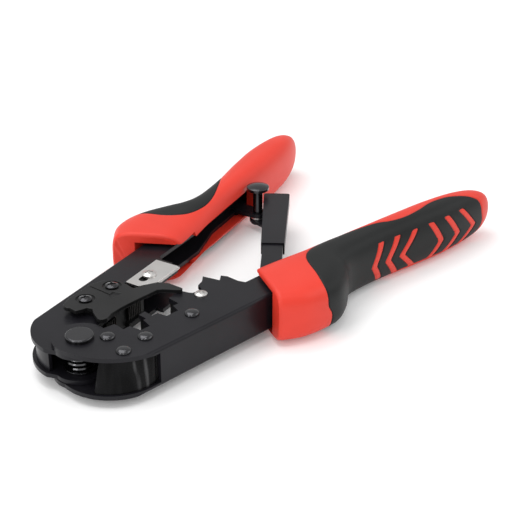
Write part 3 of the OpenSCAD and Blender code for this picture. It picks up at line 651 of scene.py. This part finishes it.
def rivet_profile():
    """Radius and height down a rivet, from the top of its upper head to the bottom of its lower one."""
    dome = RIVET_HEAD_H - HEAD_GAP
    top = []
    for degrees in range(0, 91, DOME_STEP):
        a = math.radians(degrees)
        rise = HEAD_GAP + dome * math.cos(a) ** DOME_POWER
        top.append((RIVET_HEAD_R * math.sin(a) ** DOME_POWER, TOP_Z + rise))
    bottom = [(r, TOP_Z + BOTTOM_Z - z) for r, z in reversed(top)]
    shank = [(RIVET_HEAD_R, TOP_Z), (RIVET_R, TOP_Z), (RIVET_R, BOTTOM_Z), (RIVET_HEAD_R, BOTTOM_Z)]
    return top + shank + bottom


def make_rivets():
    """Button-headed rivets with full shoulders, as turned shapes."""
    profile = rivet_profile()
    ring = range(RIVET_SIDES)
    v, faces = [], []
    for x, y in RIVETS:
        start = len(v)
        for r, z in profile:
            for k in ring:
                a = 2 * math.pi * k / RIVET_SIDES
                v.append((x + max(r, POLE_R) * math.cos(a), y + max(r, POLE_R) * math.sin(a), z))
        last = start + (len(profile) - 1) * RIVET_SIDES
        for first in range(start, last, RIVET_SIDES):
            for k in ring:
                a, b = first + k, first + (k + 1) % RIVET_SIDES
                faces.append((a, a + RIVET_SIDES, b + RIVET_SIDES, b))
        faces.append(tuple(start + k for k in ring))
        faces.append(tuple(last + k for k in ring)[::-1])
    mesh = bpy.data.meshes.new("frame_rivets_fine")
    mesh.from_pydata([tuple(c * MM for c in p) for p in v], [], faces)
    smooth_by_angle(mesh, RIVET_SHARP_DEGREES)
    add_object("frame_rivets_fine", mesh, "frame_rivets", POLISHED_HEADS)


# ---------------------------------------------------------------- camera, lights and floor

CAMERA_LENS, CAMERA_SENSOR = 91.406, 36
CAMERA_CLIP_START, CAMERA_CLIP_END = 0.01, 10
CAMERA_PLACE = (-0.2181, -0.3044, 0.22742 + TOP_Z * MM)
# Degrees about X and Z
CAMERA_TILT, CAMERA_TURN = 62, -44.657
LIGHTS_AIM = (0.08, 0.0, 0.01)
# Name, place, size and power
LIGHTS = [
    ("key", (-0.05, 0.25, 0.7), (0.8, 0.5), 3.0),
    ("left", (-0.6, 0.0, 0.3), (0.16, 0.6), 1.0),
    ("right", (0.5, -0.35, 0.45), (0.6, 0.4), 0.9),
    ("front", (-0.42, -0.40, 0.46), (0.11, 0.11), 0.42),
    ("glint", (-0.07, -0.17, 0.8), (0.16, 0.06), 0.6),
]
FLOOR_HALF_SIDE, FLOOR_GAP, FLOOR_GLOW = 3, 0.0001, 0.1
WORLD_STRENGTH = 0.62
WHITE = (1, 1, 1, 1)


def make_camera():
    data = bpy.data.cameras.new("camera")
    camera = bpy.data.objects.new("camera", data)
    COLLECTION.objects.link(camera)
    data.sensor_width = CAMERA_SENSOR
    data.lens = CAMERA_LENS
    data.clip_start = CAMERA_CLIP_START
    data.clip_end = CAMERA_CLIP_END
    camera.location = CAMERA_PLACE
    camera.rotation_euler = (math.radians(CAMERA_TILT), 0, math.radians(CAMERA_TURN))
    SCENE.camera = camera


def make_light(name, place, size, power):
    data = bpy.data.lights.new(name, "AREA")
    data.shape = "RECTANGLE"
    data.size, data.size_y = size
    data.energy = power
    light = bpy.data.objects.new(name, data)
    COLLECTION.objects.link(light)
    light.location = place
    light.rotation_euler = (Vector(LIGHTS_AIM) - Vector(place)).to_track_quat("-Z", "Y").to_euler()


def floor_material():
    material, tree, shader = new_material("pale_floor")
    clouds = noise(tree, scale=3, detail=2)
    base = ramp(tree, clouds, [(0.3, (0.9, 0.9, 0.9)), (0.7, (0.92, 0.92, 0.92))])
    tree.links.new(base, shader.inputs["Base Color"])
    shader.inputs["Roughness"].default_value = 0.9
    shader.inputs["Emission Color"].default_value = WHITE
    shader.inputs["Emission Strength"].default_value = FLOOR_GLOW
    return material


def make_floor():
    mesh = bpy.data.meshes.new("floor")
    bm = bmesh.new()
    bmesh.ops.create_grid(bm, x_segments=2, y_segments=2, size=FLOOR_HALF_SIDE)
    bm.to_mesh(mesh)
    bm.free()
    mesh.materials.append(floor_material())
    floor = bpy.data.objects.new("floor", mesh)
    COLLECTION.objects.link(floor)
    floor.location = (0, 0, CAD_BOX[0].z - FLOOR_GAP)


def make_world():
    world = bpy.data.worlds.new("studio")
    world.use_nodes = True
    background = world.node_tree.nodes["Background"]
    background.inputs["Color"].default_value = WHITE
    background.inputs["Strength"].default_value = WORLD_STRENGTH
    SCENE.world = world
    SCENE.view_settings.view_transform = "Standard"


# ---------------------------------------------------------------- the scene

make_camera()
make_floor()
make_world()
for light in LIGHTS:
    make_light(*light)

GRIP_NODES = ["%s_grip_%s" % (side, part) for side in ("near", "far") for part in GRIP_LABELS]
for node in SLOT:
    if node not in GRIP_NODES and node != "frame_rivets":
        refine(node, BEVELS.get(node, USUAL_BEVEL), OWN_MATERIALS.get(node))
make_rivets()
make_grips()
